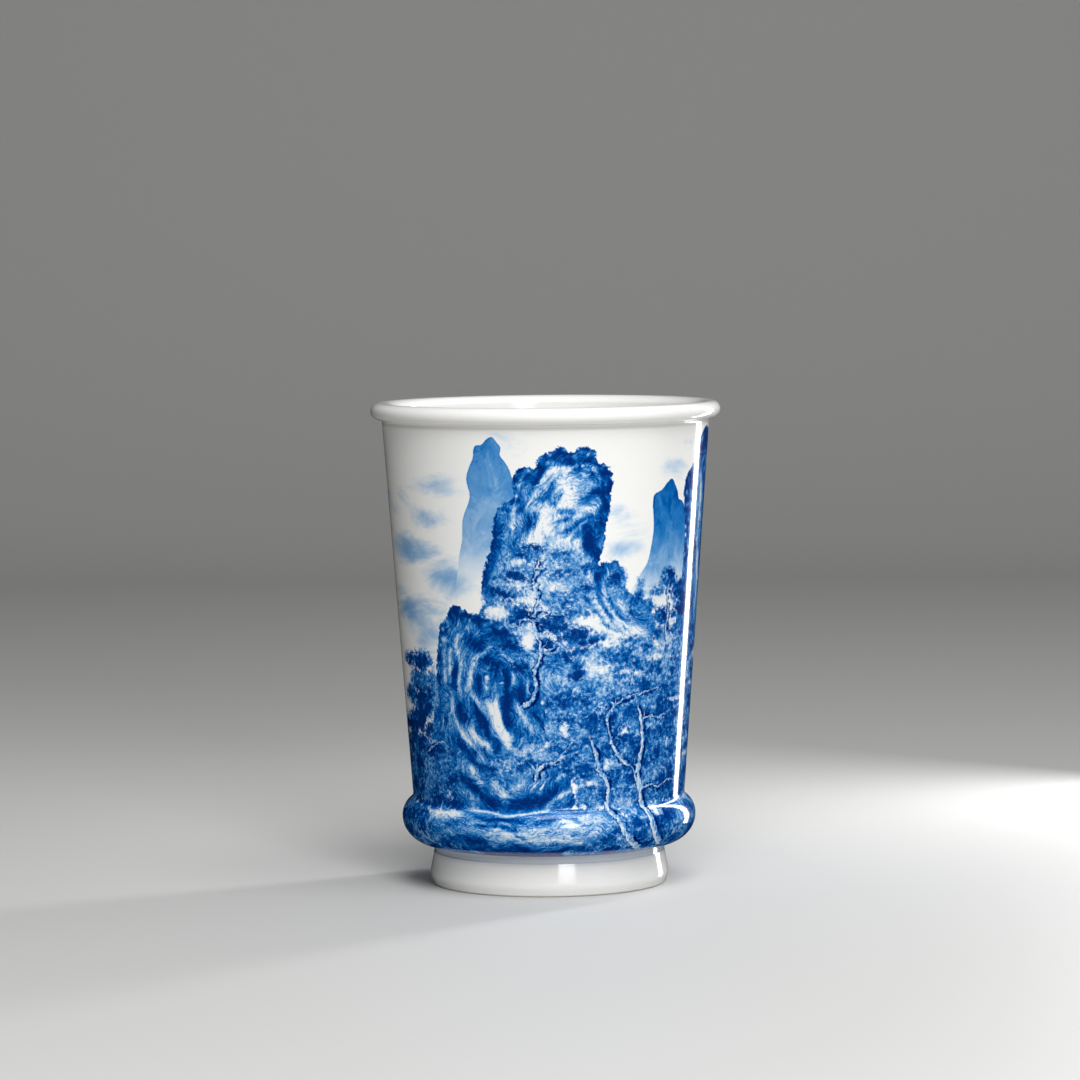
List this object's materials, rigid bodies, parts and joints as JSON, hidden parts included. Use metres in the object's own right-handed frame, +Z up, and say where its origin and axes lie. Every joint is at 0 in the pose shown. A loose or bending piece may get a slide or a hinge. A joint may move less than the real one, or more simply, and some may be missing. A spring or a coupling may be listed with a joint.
{
  "type": "brush pot",
  "caption": "Tapered porcelain pot for standing calligraphy brushes in, with a rolled lip, a swollen base roll and a white foot ring, painted all round in blue.",
  "frame": {"origin": "centre of the foot's resting face", "axes": "+Z up along the pot's axis; -Y is the side with the main painted rocks"},
  "size_m": [0.1, 0.1, 0.138],
  "materials": {
    "white_porcelain": "gloss clear glaze over white porcelain",
    "painted_porcelain": "blue landscape painted under a gloss clear glaze"
  },
  "bodies": {
    "root": {"rolled_lip": "white_porcelain", "tapered_wall": "painted_porcelain", "base_roll": "painted_porcelain", "floor_disc": "white_porcelain", "foot_ring": "white_porcelain"}
  },
  "joints": []
}
